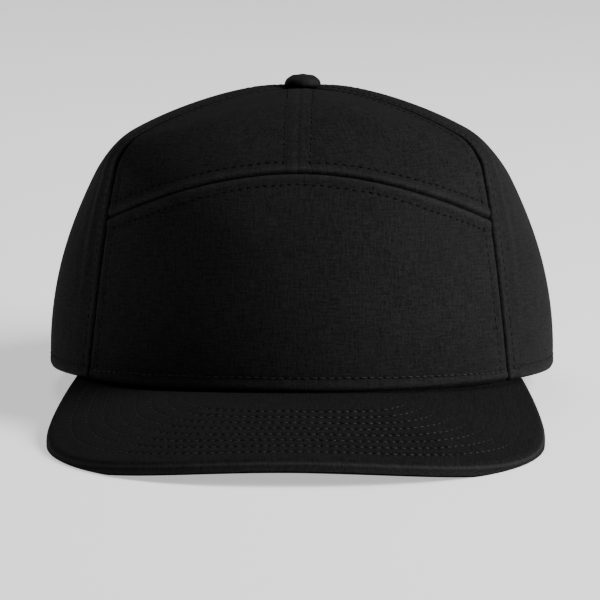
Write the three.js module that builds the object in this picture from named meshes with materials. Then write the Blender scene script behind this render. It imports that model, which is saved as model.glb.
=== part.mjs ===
import * as THREE from 'three';

// A seven-panel cap with a stiff curved brim, at rest on a table.
// Millimetres, +Z up, the front and the brim towards -Y, the wearer's left towards +X.
// The crown is worked out with its rim in the plane z = 0, then the whole cap is tipped to rest
// on the brim's two front corners and on the rim's two ends beside the opening at the back.

// Crown
const HALF_WIDTH = 92;
const HALF_DEPTH = 99;
const CROWN_TOP = 102.8;
const BUTTON_Y = 2;
const CLOTH = 1.6;
const SEAM_GAP = 0.3;
const RING_R = 3;

// One row per direction out from the button, in degrees from the front. The columns are how far
// the shoulder stands in from the rim, how high it is, how much the wall and the top bulge, and
// how much of each the rounding of the shoulder takes.
const CROWN_ROWS = [
  { angle: 0, shoulderIn: 14, shoulderUp: 88, wallBow: 2, topBow: 3.6, rounding: 0.45 },
  { angle: 53.8, shoulderIn: 14.5, shoulderUp: 81.5, wallBow: 1.7, topBow: 4, rounding: 0.09 },
  { angle: 80, shoulderIn: 21.5, shoulderUp: 81.4, wallBow: 6.2, topBow: 5.3, rounding: 0.13 },
  { angle: 117, shoulderIn: 24.6, shoulderUp: 79.2, wallBow: 6.8, topBow: 6.1, rounding: 0.42 },
  { angle: 180, shoulderIn: 26.5, shoulderUp: 77.5, wallBow: 7.8, topBow: 7, rounding: 0.5 },
];

// Seams
const FRONT_SEAM = 53.8;
const SIDE_SEAM = 117;
const ARCH_TOP = 74.1;
const ARCH_RADIUS = 130;

// Opening at the back
const OPENING_ANGLE = 25.8;
const OPENING_UP = 49;
const OPENING_SQUARENESS = 2.3;

// Brim
const BRIM_SLOPE = 0.24;
const BRIM_RADIUS = 267;
const BRIM_JOINT_UP = 0.5;
const BRIM_COVER = 1.9;
const BRIM_ANGLE = 59.7;
const BRIM_HALF_WIDTH = 85.7;
const BRIM_WIDEST_Y = -96.3;
const BRIM_REACH = 70.2;
const BRIM_SQUARENESS = 2.33;
const BRIM_TUCK = 5.8;

// Button
const BUTTON_R = 6.7;
const BUTTON_HEIGHT = 4.1;
const SHANK_R = 2.4;
const BACK_PLATE_R = 5;

// Sweatband and strap
const BAND_ANGLE = 146;
const BAND_LOW = 1;
const BAND_HIGH = 33;
const BAND_CLOTH = 1.2;
const INSET_GAP = 0.4;
const STRAP_ANGLE = 33;
const STRAP_LOW = 2;
const STRAP_HIGH = 20;
const STRAP_THICK = 1.4;
const STRAP_LAP = 1;
const LAP_FROM = -20;
const LAP_TO = 9;

// Resting
const REST_TILT = 5.7;
const REST_LIFT = 8.1;
const REST_SHIFT = 34.46;

const rad = THREE.MathUtils.degToRad;
const mix = THREE.MathUtils.lerp;

// The table's row at any angle, eased from row to row.
const crownRow = (angle) => {
  const last = CROWN_ROWS.length - 1;
  let k = 0;
  while (k < last - 1 && angle > CROWN_ROWS[k + 1].angle) {
    k += 1;
  }
  const a = CROWN_ROWS[k];
  const b = CROWN_ROWS[k + 1];
  const span = b.angle - a.angle;
  const t = (angle - a.angle) / span;
  const slope = (i, column) => {
    if (i === 0 || i === last) {
      return 0;
    }
    const before = CROWN_ROWS[i - 1];
    const after = CROWN_ROWS[i + 1];
    return (after[column] - before[column]) / (after.angle - before.angle);
  };
  const ease = (column) => {
    const from = (2 * t ** 3 - 3 * t ** 2 + 1) * a[column];
    const to = (3 * t ** 2 - 2 * t ** 3) * b[column];
    const leave = (t ** 3 - 2 * t ** 2 + t) * span * slope(k, column);
    const arrive = (t ** 3 - t ** 2) * span * slope(k + 1, column);
    return from + to + leave + arrive;
  };
  return {
    inward: ease('shoulderIn'),
    up: ease('shoulderUp'),
    wallBow: ease('wallBow'),
    topBow: ease('topBow'),
    rounding: ease('rounding'),
  };
};

// The crown's section from the rim to the top in one direction, as a path in (reach, height).
const sections = new Map();
const section = (angle) => {
  const key = angle.toFixed(3);
  if (sections.has(key)) {
    return sections.get(key);
  }
  const row = crownRow(angle);
  const a = rad(angle);
  const rim = new THREE.Vector2(HALF_WIDTH * Math.sin(a), -HALF_DEPTH * Math.cos(a));
  const centre = new THREE.Vector2(0, BUTTON_Y);
  const reach = rim.distanceTo(centre);
  const out = rim.clone().sub(centre).normalize();
  const foot = new THREE.Vector2(reach, 0);
  const shoulder = new THREE.Vector2(reach - row.inward, row.up);
  const top = new THREE.Vector2(0, CROWN_TOP);
  const wallPull = foot.clone().lerp(shoulder, 0.5);
  wallPull.x += 2 * row.wallBow;
  const topPull = shoulder.clone().lerp(top, 0.5);
  topPull.y += 2 * row.topBow;
  const keep = 1 - row.rounding;
  const wall = new THREE.QuadraticBezierCurve(foot, wallPull, shoulder);
  const lid = new THREE.QuadraticBezierCurve(shoulder, topPull, top);
  const wallEnd = wall.getPoint(keep);
  const lidStart = lid.getPoint(row.rounding);
  const path = new THREE.CurvePath();
  path.add(new THREE.QuadraticBezierCurve(foot, foot.clone().lerp(wallPull, keep), wallEnd));
  path.add(
    new THREE.CubicBezierCurve(
      wallEnd,
      wallPull.clone().lerp(shoulder, keep),
      shoulder.clone().lerp(topPull, row.rounding),
      lidStart,
    ),
  );
  path.add(new THREE.QuadraticBezierCurve(lidStart, topPull.clone().lerp(top, row.rounding), top));
  const made = { out, path, length: path.getLength() };
  sections.set(key, made);
  return made;
};

// A point of the crown's outer face: degrees from the front, and the share of the way up.
const onCrown = (angle, share) => {
  const turn = THREE.MathUtils.euclideanModulo(angle + 180, 360) - 180;
  const side = turn < 0 ? -1 : 1;
  const { out, path } = section(Math.abs(turn));
  const p = path.getPoint(THREE.MathUtils.clamp(share, 0, 1));
  return new THREE.Vector3(side * out.x * p.x, BUTTON_Y + out.y * p.x, p.y);
};

const outward = (angle, share) => {
  const low = Math.min(share, 0.998);
  const around = onCrown(angle + 0.4, low).sub(onCrown(angle - 0.4, low));
  const upward = onCrown(angle, low + 0.002).sub(onCrown(angle, Math.max(low - 0.002, 0)));
  return around.cross(upward).normalize();
};

const lengthAt = (angle) => {
  const turn = THREE.MathUtils.euclideanModulo(angle + 180, 360) - 180;
  return section(Math.abs(turn)).length;
};

// The share of the way up at which a test of the point first holds.
const shareWhere = (angle, test) => {
  let low = 0;
  let high = 0.75;
  for (let k = 0; k < 24; k += 1) {
    const middle = (low + high) / 2;
    if (test(onCrown(angle, middle))) {
      high = middle;
    } else {
      low = middle;
    }
  }
  return (low + high) / 2;
};

const atHeight = (angle, height) => shareWhere(angle, (p) => p.z > height);
const atArch = (angle) => shareWhere(angle, (p) => p.z > ARCH_TOP - p.x ** 2 / (2 * ARCH_RADIUS));
const atRing = (angle) => 1 - RING_R / lengthAt(angle);

// Rows stand closer together round the shoulder.
const crowd = (share) => share + 0.22 * THREE.MathUtils.smoothstep(share, 0.37, 0.57);
const uncrowd = (value) => {
  let low = -0.1;
  let high = 1.1;
  for (let k = 0; k < 24; k += 1) {
    const middle = (low + high) / 2;
    if (crowd(middle) > value) {
      high = middle;
    } else {
      low = middle;
    }
  }
  return (low + high) / 2;
};

// A closed solid between two grids of points of the same size, outer and inner.
const solidBetween = (outer, inner) => {
  const rows = outer.length;
  const columns = outer[0].length;
  const points = [...outer.flat(), ...inner.flat()];
  const back = rows * columns;
  const at = (j, i) => j * columns + i;
  const faces = [];
  const quad = (a, b, c, d) => {
    if (points[a].distanceTo(points[c]) <= points[b].distanceTo(points[d])) {
      faces.push(a, b, c, a, c, d);
    } else {
      faces.push(a, b, d, b, c, d);
    }
  };
  for (let j = 0; j + 1 < rows; j += 1) {
    for (let i = 0; i + 1 < columns; i += 1) {
      quad(at(j, i), at(j, i + 1), at(j + 1, i + 1), at(j + 1, i));
      quad(back + at(j, i), back + at(j + 1, i), back + at(j + 1, i + 1), back + at(j, i + 1));
    }
  }
  const loop = [];
  for (let i = 0; i + 1 < columns; i += 1) {
    loop.push(at(0, i));
  }
  for (let j = 0; j + 1 < rows; j += 1) {
    loop.push(at(j, columns - 1));
  }
  for (let i = columns - 1; i > 0; i -= 1) {
    loop.push(at(rows - 1, i));
  }
  for (let j = rows - 1; j > 0; j -= 1) {
    loop.push(at(j, 0));
  }
  loop.forEach((from, k) => {
    const to = loop[(k + 1) % loop.length];
    quad(to, from, back + from, back + to);
  });
  let volume = 0;
  for (let k = 0; k < faces.length; k += 3) {
    const [a, b, c] = [points[faces[k]], points[faces[k + 1]], points[faces[k + 2]]];
    volume += a.dot(b.clone().cross(c));
  }
  if (volume < 0) {
    faces.reverse();
  }
  const geometry = new THREE.BufferGeometry();
  const xyz = points.flatMap((p) => [p.x, p.y, p.z]);
  geometry.setAttribute('position', new THREE.Float32BufferAttribute(xyz, 3));
  geometry.setIndex(faces);
  return geometry;
};

// A piece of cloth on the crown, between a low and a high edge given as (angle, share) for 0 to 1
// across. Every edge stops short by half a seam gap. Depths are measured in from the outer face.
const clothPiece = ({ low, high, columns, rows, from = () => 0, to = () => CLOTH }) => {
  const outer = [];
  const inner = [];
  for (let j = 0; j <= rows; j += 1) {
    const outerRow = [];
    const innerRow = [];
    for (let i = 0; i <= columns; i += 1) {
      const a = low(i / columns);
      const b = high(i / columns);
      let share = uncrowd(mix(crowd(a.share), crowd(b.share), j / rows));
      let angle = mix(a.angle, b.angle, (share - a.share) / (b.share - a.share));
      const perDegree = onCrown(angle + 0.5, share).distanceTo(onCrown(angle - 0.5, share));
      const along = SEAM_GAP / 2 / perDegree;
      const up = SEAM_GAP / 2 / lengthAt(angle);
      share += (j === 0 ? up : 0) - (j === rows ? up : 0);
      angle += (i === 0 ? along : 0) - (i === columns ? along : 0);
      const p = onCrown(angle, share);
      const n = outward(angle, share);
      outerRow.push(p.clone().addScaledVector(n, -from(angle)));
      innerRow.push(p.clone().addScaledVector(n, -to(angle)));
    }
    outer.push(outerRow);
    inner.push(innerRow);
  }
  return solidBetween(outer, inner);
};

const across = (first, last, share) => (u) => {
  const angle = mix(first, last, u);
  return { angle, share: share(angle) };
};
const rim = () => 0;

// Crown panels
const frontPanel = () =>
  clothPiece({
    low: across(-FRONT_SEAM, FRONT_SEAM, rim),
    high: across(-FRONT_SEAM, FRONT_SEAM, atArch),
    columns: 24,
    rows: 9,
  });

const upperFront = (first, last) =>
  clothPiece({
    low: across(first, last, atArch),
    high: across(first, last, atRing),
    columns: 12,
    rows: 12,
  });

const sidePanel = () =>
  clothPiece({
    low: across(FRONT_SEAM, SIDE_SEAM, rim),
    high: across(FRONT_SEAM, SIDE_SEAM, atRing),
    columns: 13,
    rows: 20,
  });

// The back panel's lower edge follows the rim, then climbs over the opening.
const RIM_SHARE = 0.5;
const backEdge = (u) => {
  const corner = 180 - OPENING_ANGLE;
  if (u <= RIM_SHARE) {
    return { angle: mix(SIDE_SEAM, corner, u / RIM_SHARE), share: 0 };
  }
  const swing = rad((90 * (u - RIM_SHARE)) / (1 - RIM_SHARE));
  const bend = 2 / OPENING_SQUARENESS;
  const angle = 180 - OPENING_ANGLE * Math.cos(swing) ** bend;
  return { angle, share: atHeight(angle, OPENING_UP * Math.sin(swing) ** bend) };
};

const backPanel = () =>
  clothPiece({
    low: backEdge,
    high: across(SIDE_SEAM, 180, atRing),
    columns: 20,
    rows: 15,
  });

// Sweatband, inside the rim, open at the back
const sweatband = () => {
  const start = CLOTH + INSET_GAP;
  return clothPiece({
    low: across(-BAND_ANGLE, BAND_ANGLE, (angle) => atHeight(angle, BAND_LOW)),
    high: across(-BAND_ANGLE, BAND_ANGLE, (angle) => atHeight(angle, BAND_HIGH)),
    columns: 48,
    rows: 3,
    from: () => start,
    to: () => start + BAND_CLOTH,
  });
};

// Strap across the opening, lapped over itself in the middle
const strap = () => {
  const start = CLOTH + INSET_GAP;
  const lap = (angle) => angle > 180 + LAP_FROM && angle < 180 + LAP_TO;
  const stops = [-STRAP_ANGLE, -26, LAP_FROM - 0.1, LAP_FROM + 0.1, -15, -10, -5, 0, 4.5];
  stops.push(LAP_TO - 0.1, LAP_TO + 0.1, 14, 20, 26, STRAP_ANGLE);
  const edge = (height) => (u) => {
    const angle = 180 + stops[Math.round(u * (stops.length - 1))];
    return { angle, share: atHeight(angle, height) };
  };
  return clothPiece({
    low: edge(STRAP_LOW),
    high: edge(STRAP_HIGH),
    columns: stops.length - 1,
    rows: 3,
    from: (angle) => (lap(angle) ? start - STRAP_LAP : start),
    to: () => start + STRAP_THICK,
  });
};

// Brim
const brimUp = (x, y) => BRIM_JOINT_UP + BRIM_SLOPE * (y + HALF_DEPTH) - x ** 2 / (2 * BRIM_RADIUS);

// The brim's outer edge in plan, from the wearer's right temple round the front to the left.
const brimEdge = () => {
  const half = [];
  const rimEnd = -HALF_DEPTH * Math.cos(rad(BRIM_ANGLE));
  for (let k = 0; k <= 12; k += 1) {
    const y = mix(rimEnd, BRIM_WIDEST_Y, k / 12);
    const back = (y - BRIM_WIDEST_Y) / (rimEnd - BRIM_WIDEST_Y);
    half.push(new THREE.Vector2(BRIM_HALF_WIDTH - BRIM_TUCK * back ** 1.6, y));
  }
  for (let k = 1; k <= 40; k += 1) {
    const swing = rad((90 * k) / 40);
    const bend = 2 / BRIM_SQUARENESS;
    const x = BRIM_HALF_WIDTH * Math.cos(swing) ** bend;
    half.push(new THREE.Vector2(x, BRIM_WIDEST_Y - BRIM_REACH * Math.sin(swing) ** bend));
  }
  const right = half.map((p) => new THREE.Vector2(-p.x, p.y));
  const points = [...right, ...half.slice(0, -1).reverse()];
  const path = new THREE.CurvePath();
  for (let k = 0; k + 1 < points.length; k += 1) {
    path.add(new THREE.LineCurve(points[k], points[k + 1]));
  }
  return path;
};

const BRIM_COLUMNS = 36;
const BRIM_STEPS = [0, 0.14, 0.3, 0.46, 0.62, 0.78, 0.9, 0.97, 1];
const brimCover = (above, below) => {
  const edge = brimEdge();
  const upper = [];
  const lower = [];
  BRIM_STEPS.forEach((step) => {
    const upperRow = [];
    const lowerRow = [];
    for (let i = 0; i <= BRIM_COLUMNS; i += 1) {
      const u = i / BRIM_COLUMNS;
      const angle = rad(mix(-BRIM_ANGLE, BRIM_ANGLE, u));
      const inside = new THREE.Vector2(
        (HALF_WIDTH + 0.35) * Math.sin(angle),
        -(HALF_DEPTH + 0.35) * Math.cos(angle),
      );
      const p = inside.lerp(edge.getPoint(u), step);
      const z = brimUp(p.x, p.y);
      upperRow.push(new THREE.Vector3(p.x, p.y, z - above));
      lowerRow.push(new THREE.Vector3(p.x, p.y, z - below));
    }
    upper.push(upperRow);
    lower.push(lowerRow);
  });
  return solidBetween(upper, lower);
};

// Button: a covered dome, with a shank through the ring of panel tips and a plate behind them
const button = () => {
  const plateTop = CROWN_TOP - CLOTH - 2 * SEAM_GAP;
  const base = CROWN_TOP + SEAM_GAP;
  const outline = [
    [0, plateTop - 0.9],
    [BACK_PLATE_R, plateTop - 0.9],
    [BACK_PLATE_R, plateTop],
    [SHANK_R, plateTop],
    [SHANK_R, base],
    [BUTTON_R - 0.6, base],
  ].map(([r, z]) => new THREE.Vector2(r, z));
  for (let k = 0; k <= 8; k += 1) {
    const swing = rad((90 * k) / 8);
    const lift = base + 0.6 + (BUTTON_HEIGHT - 0.6) * Math.sin(swing) ** 1.1;
    outline.push(new THREE.Vector2(k === 8 ? 0 : BUTTON_R * Math.cos(swing) ** 0.75, lift));
  }
  const around = 28;
  const points = [];
  const faces = [];
  const rings = outline.map(({ x, y }) => {
    const first = points.length / 3;
    const count = x === 0 ? 1 : around;
    for (let k = 0; k < count; k += 1) {
      const a = rad((360 * k) / around);
      points.push(x * Math.cos(a), BUTTON_Y + x * Math.sin(a), y);
    }
    return { first, count };
  });
  for (let r = 0; r + 1 < rings.length; r += 1) {
    const low = rings[r];
    const high = rings[r + 1];
    for (let k = 0; k < around; k += 1) {
      const next = (k + 1) % around;
      const at = (ring, index) => ring.first + (ring.count === 1 ? 0 : index);
      if (low.count > 1) {
        faces.push(at(low, k), at(low, next), at(high, k));
      }
      if (high.count > 1) {
        faces.push(at(low, next), at(high, next), at(high, k));
      }
    }
  }
  const geometry = new THREE.BufferGeometry();
  geometry.setAttribute('position', new THREE.Float32BufferAttribute(points, 3));
  geometry.setIndex(faces);
  return geometry;
};

// Tip the cap to rest, and flatten what would press into the table.
const atRest = (geometry) => {
  geometry.rotateX(-rad(REST_TILT));
  geometry.translate(0, REST_SHIFT, REST_LIFT);
  const position = geometry.getAttribute('position');
  for (let k = 0; k < position.count; k += 1) {
    position.setZ(k, Math.max(position.getZ(k), 0));
  }
  return geometry;
};

const mirrored = (geometry) => {
  geometry.scale(-1, 1, 1);
  geometry.setIndex([...geometry.getIndex().array].reverse());
  return geometry;
};

const cloth = new THREE.MeshStandardMaterial({ color: 0x17181b, roughness: 0.95, name: 'cap_cloth' });
const lining = new THREE.MeshStandardMaterial({ color: 0x141518, roughness: 0.95, name: 'band_cloth' });
const plastic = new THREE.MeshStandardMaterial({ color: 0x16171a, roughness: 0.5, name: 'strap_plastic' });

const cap = new THREE.Group();
cap.name = 'cap';
const add = (name, geometry, material) => {
  const mesh = new THREE.Mesh(atRest(geometry), material);
  mesh.name = name;
  mesh.geometry.computeVertexNormals();
  cap.add(mesh);
};

add('front_panel', frontPanel(), cloth);
add('upper_front_left', upperFront(0, FRONT_SEAM), cloth);
add('upper_front_right', upperFront(-FRONT_SEAM, 0), cloth);
add('side_left', sidePanel(), cloth);
add('side_right', mirrored(sidePanel()), cloth);
add('back_left', backPanel(), cloth);
add('back_right', mirrored(backPanel()), cloth);
add('brim_top', brimCover(0, BRIM_COVER), cloth);
add('brim_under', brimCover(BRIM_COVER + SEAM_GAP, 2 * BRIM_COVER + SEAM_GAP), cloth);
add('button', button(), cloth);
add('sweatband', sweatband(), lining);
add('back_strap', strap(), plastic);

export default cap;
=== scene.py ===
# %% [markdown]
# # A black seven-panel cap
#
# A cotton cap with a boxy crown: a lower front panel, two upper front panels over an arched
# seam, two side and two back panels, with a button on top, a stitched brim, a sweatband and a
# strap at the back. The solid model gives each piece its place and size. This lesson makes the
# cloth, the seams and the stitches around it, and never moves the solid model.

# %% Load the frame
import math

import bpy
import numpy as np
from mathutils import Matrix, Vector
from mathutils.bvhtree import BVHTree
from mathutils.kdtree import KDTree


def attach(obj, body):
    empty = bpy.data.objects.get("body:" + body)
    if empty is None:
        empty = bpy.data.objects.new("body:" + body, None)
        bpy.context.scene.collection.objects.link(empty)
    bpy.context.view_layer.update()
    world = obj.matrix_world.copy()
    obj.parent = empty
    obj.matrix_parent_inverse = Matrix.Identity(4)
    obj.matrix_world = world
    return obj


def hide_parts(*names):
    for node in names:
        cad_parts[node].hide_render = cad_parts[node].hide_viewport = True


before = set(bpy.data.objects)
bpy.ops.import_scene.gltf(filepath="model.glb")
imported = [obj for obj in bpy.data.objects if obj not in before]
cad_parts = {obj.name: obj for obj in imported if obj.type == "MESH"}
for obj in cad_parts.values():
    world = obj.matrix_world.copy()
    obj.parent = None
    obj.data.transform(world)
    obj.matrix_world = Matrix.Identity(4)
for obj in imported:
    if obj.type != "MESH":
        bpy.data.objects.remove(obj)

bpy.ops.object.select_all(action="DESELECT")
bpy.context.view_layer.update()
print("nodes of the solid model:", sorted(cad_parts))

# %% [markdown]
# ## The crown's own sizes
#
# A cap is sewn from flat pieces, but its shape is easiest to say as sections: one curve from
# the rim to the button for every direction. Each row of the table is a section, and those in
# between are eased from row to row. Sizes are in millimetres, with the rim flat at height 0 and
# the front towards -Y, and a last step tips the cap over to rest on a table.

# %% Sizes of the crown
MM = 0.001
HALF_WIDTH = 92.0
HALF_DEPTH = 99.0
CROWN_TOP = 102.8
BUTTON_Y = 2.0
# the panels' tips end on a small ring under the button
RING_R = 2.6
# where the front and the side seams stand, in degrees from the front
FRONT_SEAM = 53.8
SIDE_SEAM = 117.0
# the arched seam is part of a circle, seen from the front
ARCH_TOP = 74.1
ARCH_RADIUS = 130.0
# the opening at the back: half its width in degrees, its height, how square its corners are
OPENING_ANGLE = 25.8
OPENING_UP = 49.0
OPENING_SQUARENESS = 2.3
# how the cap lies: tipped back, lifted, and moved so that its outline is in the middle
REST_TILT = math.radians(5.7)
REST_LIFT = 8.1
REST_SHIFT = 34.46
# angle, shoulder in, shoulder up, how much the wall and the top bow out, share rounded off
CROWN_ROWS = np.array([
    (0.0, 14.0, 88.0, 2.0, 3.6, 0.45),
    (FRONT_SEAM, 14.5, 81.5, 1.7, 4.0, 0.09),
    (80.0, 21.5, 81.4, 6.2, 5.3, 0.13),
    (SIDE_SEAM, 24.6, 79.2, 6.8, 6.1, 0.42),
    (180.0, 26.5, 77.5, 7.8, 7.0, 0.50),
])
ROW_ANGLES = CROWN_ROWS[:, 0]
SLOPES = np.zeros_like(CROWN_ROWS)
SLOPES[1:-1] = (CROWN_ROWS[2:] - CROWN_ROWS[:-2]) / (ROW_ANGLES[2:] - ROW_ANGLES[:-2])[:, None]


def eased_row(angle):
    """The table's row at any angle from 0 to 180."""
    k = int(np.clip(np.searchsorted(ROW_ANGLES, angle) - 1, 0, len(CROWN_ROWS) - 2))
    span = ROW_ANGLES[k + 1] - ROW_ANGLES[k]
    t = (angle - ROW_ANGLES[k]) / span
    ends = (2 * t**3 - 3 * t**2 + 1) * CROWN_ROWS[k] + (3 * t**2 - 2 * t**3) * CROWN_ROWS[k + 1]
    return ends + span * ((t**3 - 2 * t**2 + t) * SLOPES[k] + (t**3 - t**2) * SLOPES[k + 1])


def bezier(points, t):
    """A Bezier curve of any order at the values t."""
    while len(points) > 1:
        points = [a + (b - a) * t[:, None] for a, b in zip(points, points[1:])]
    return points[0]


# %% [markdown]
# ## One surface for all the panels
#
# Every panel, stitch and band lies on the same surface, so neighbours meet exactly. A point on
# it is an angle from the front and a share of the way up, from 0 at the rim to 1 at the button.
# A section is a bowed wall, a rounded shoulder and a bowed top, each a Bezier curve. All the
# sections are worked out once into a fine table of how far out and how high each point is.

# %% The crown's table
ANGLE_STEP = 0.25
ANGLES = np.arange(0, 180 + ANGLE_STEP / 2, ANGLE_STEP)
SHARES = np.linspace(0, 1, 1201)
CURVE_POINTS = 80
REACH = np.empty((len(ANGLES), len(SHARES)))
HEIGHT = np.empty_like(REACH)
LENGTH = np.empty(len(ANGLES))


def rim_direction(turn):
    """How far the rim is from the button's axis in plan, and the way out to it."""
    a = np.radians(turn)
    x, y = HALF_WIDTH * np.sin(a), -HALF_DEPTH * np.cos(a) - BUTTON_Y
    reach = np.hypot(x, y)
    return reach, x / reach, y / reach


def gone_along(points):
    """How far along a line of points each of them is."""
    steps = np.linalg.norm(np.diff(points, axis=0), axis=1)
    return np.concatenate([[0], np.cumsum(steps)])


def points_at(points, along):
    """Points at the given distances along a line of points."""
    gone = gone_along(points)
    return np.stack([np.interp(along, gone, column) for column in points.T], axis=-1)


for i, angle in enumerate(ANGLES):
    _, inward, up, wall_bow, top_bow, rounding = eased_row(angle)
    reach = float(rim_direction(angle)[0])
    foot, top = np.array([reach, 0.0]), np.array([0.0, CROWN_TOP])
    shoulder = np.array([reach - inward, up])
    wall_pull = (foot + shoulder) / 2 + (2 * wall_bow, 0)
    top_pull = (shoulder + top) / 2 + (0, 2 * top_bow)
    keep = 1 - rounding
    t = np.linspace(0, 1, CURVE_POINTS)
    wall = bezier((foot, wall_pull, shoulder), keep * t)
    lid = bezier((shoulder, top_pull, top), rounding + keep * t)
    corner = bezier(
        (wall[-1], wall_pull + (shoulder - wall_pull) * keep,
         shoulder + (top_pull - shoulder) * rounding, lid[0]), t)
    path = np.vstack([wall, corner[1:], lid[1:]])
    LENGTH[i] = gone_along(path)[-1]
    REACH[i], HEIGHT[i] = points_at(path, SHARES * LENGTH[i]).T
print("section lengths in mm, front to back:", np.round(LENGTH[::120], 1))

# %% [markdown]
# ## Reading the surface
#
# The pieces ask the table four things: where a point is, which way is out there, how much cloth
# a degree or a section spans, and at which share a height is reached. The last one has no
# formula, so it is found by halving.

# %% Points, ways out, lengths and heights
# a way out is found from points this near, and no nearer to the tip than this
NEARBY_ANGLE, NEARBY_SHARE, TIP_SHARE = 0.6, 0.006, 0.975
# a height is looked for below this share, by halving this often
SEARCH_BELOW, HALVINGS = 0.75, 26


def on_crown(angle, share):
    """Points of the crown's outer face, in millimetres."""
    angle, share = np.broadcast_arrays(np.asarray(angle, float), np.asarray(share, float))
    turn = (angle + 180) % 360 - 180
    a = np.abs(turn) / ANGLE_STEP
    s = np.clip(share, 0, 1) * (len(SHARES) - 1)
    i = np.minimum(a.astype(int), len(ANGLES) - 2)
    j = np.minimum(s.astype(int), len(SHARES) - 2)
    a, s = a - i, s - j

    def read(table):
        low = table[i, j] * (1 - a) + table[i + 1, j] * a
        high = table[i, j + 1] * (1 - a) + table[i + 1, j + 1] * a
        return low * (1 - s) + high * s

    _, out_x, out_y = rim_direction(turn)
    reach = read(REACH)
    return np.stack([out_x * reach, BUTTON_Y + out_y * reach, read(HEIGHT)], axis=-1)


def unit(v):
    return v / np.linalg.norm(v, axis=-1, keepdims=True)


def outward(angle, share):
    """The way out of the crown at a point, one long. The tip itself has none, so it stops short."""
    low = np.clip(share, NEARBY_SHARE, TIP_SHARE)
    around = on_crown(angle + NEARBY_ANGLE, low) - on_crown(angle - NEARBY_ANGLE, low)
    upward = on_crown(angle, low + NEARBY_SHARE) - on_crown(angle, low - NEARBY_SHARE)
    return unit(np.cross(around, upward))


def length_at(angle):
    """How much cloth there is from the rim to the tip, in millimetres."""
    return np.interp(np.abs((np.asarray(angle) + 180) % 360 - 180), ANGLES, LENGTH)


def per_degree(angle, share):
    """How many millimetres of cloth one degree spans."""
    return np.linalg.norm(on_crown(angle + 0.5, share) - on_crown(angle - 0.5, share), axis=-1)


def share_where(angle, test):
    """The share of the way up at which a test of the point first holds."""
    angle = np.asarray(angle, float)
    low, high = np.zeros(angle.shape), np.full(angle.shape, SEARCH_BELOW)
    for _ in range(HALVINGS):
        middle = (low + high) / 2
        holds = test(on_crown(angle, middle))
        low, high = np.where(holds, low, middle), np.where(holds, middle, high)
    return (low + high) / 2


def at_height(angle, height):
    return share_where(angle, lambda p: p[..., 2] > height)


print("the front is 50 mm up at a share of", np.round(at_height(0.0, 50.0), 3))

# %% [markdown]
# ## How the cap lies
#
# A cap laid on a table rests on the two sides of its brim and on the rim beside the opening, so
# it is tipped back a little. Every piece is worked out upright and then taken through this one
# step, and what would dip into the table is flattened on it, as the cloth is.

# %% The cap at rest
def turned(vectors):
    """Directions in the cap's own frame, turned to how it lies."""
    x, y, z = np.moveaxis(vectors, -1, 0)
    sin, cos = math.sin(-REST_TILT), math.cos(-REST_TILT)
    return np.stack([x, y * cos - z * sin, y * sin + z * cos], axis=-1)


def at_rest(points):
    """Points in the cap's own frame, in metres where it lies: turned, lifted and flattened."""
    x, y, z = np.moveaxis(turned(np.asarray(points, float)), -1, 0)
    return np.stack([x, y + REST_SHIFT, np.maximum(z + REST_LIFT, 0)], axis=-1) * MM


print("the crown's tip at rest, in metres:", np.round(at_rest(on_crown(0.0, 1.0)), 4))

# %% [markdown]
# ## Panels as grids
#
# A sewn panel is a sheet with four edges, so it starts as Blender's grid primitive. The grid's
# points are laid onto the crown between a low and a high edge, closer together near the edges,
# where the seams need detail. The grid's own UV map is given the cloth's coordinates in metres,
# so that the weave keeps its real size on every piece.

# %% A helper for laying a grid primitive
# how far in from an edge the grid's lines lie, as long as they are close together
NEAR = np.array([0, 0.18, 0.36, 0.58, 0.85, 1.2, 1.7, 2.4, 3.2, 3.8, 4.2, 4.6, 5.0, 5.4, 6.0, 6.9])


def stops(length, coarse):
    """Shares from 0 to 1 along a length, fine near both ends and coarse between."""
    middle = np.arange(1, round((length - 2 * NEAR[-1]) / coarse))
    middle = NEAR[-1] + middle * (length - 2 * NEAR[-1]) / (len(middle) + 1)
    return np.concatenate([NEAR, middle, length - NEAR[::-1]]) / length


def only(obj):
    """Makes obj the one selected and active object."""
    bpy.ops.object.select_all(action="DESELECT")
    obj.select_set(True)
    bpy.context.view_layer.objects.active = obj


def grid_piece(name, points, weave, painted_light=None):
    """Adds a grid and sets its points, its cloth coordinates and its painted light and shade."""
    rows, columns = points.shape[:2]
    bpy.ops.mesh.primitive_grid_add(x_subdivisions=columns - 1, y_subdivisions=rows - 1, size=1)
    piece = bpy.context.object
    piece.name = piece.data.name = name
    mesh = piece.data
    mesh.vertices.foreach_set("co", at_rest(points).reshape(-1))
    cloth = mesh.uv_layers[0]
    cloth.name = "cloth"
    corners = np.empty(len(mesh.loops), int)
    mesh.loops.foreach_get("vertex_index", corners)
    cloth.data.foreach_set("uv", (weave.reshape(-1, 2)[corners] * MM).reshape(-1))
    # painted light and shade for each point: above 0 lightens the cloth's colour, below 0 darkens
    # it
    if painted_light is not None:
        mesh.attributes.new("painted_light", "FLOAT", "POINT").data.foreach_set("value", painted_light.reshape(-1))
    mesh.update()
    return piece


# %% [markdown]
# ## Giving the cloth its thickness
#
# Solidify copies a sheet and closes the edges between the two. It moves each point of the copy
# along that point's own normal, which frays the copy where a fold is sharp, so on the crown the
# copy is then set straight inwards, against the smooth surface's own way out. Both sheets are
# kept off the table that the cap lies on, and a little apart, so that no two faces share a place.

# %% Thickness
CLOTH = 1.2
KEPT_APART = 0.2
# an edge that turns by more than this is shaded sharp
SHARPEST_SMOOTH = math.radians(50)


def local_points(obj):
    flat = np.empty(len(obj.data.vertices) * 3)
    obj.data.vertices.foreach_get("co", flat)
    return flat.reshape(-1, 3)


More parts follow.
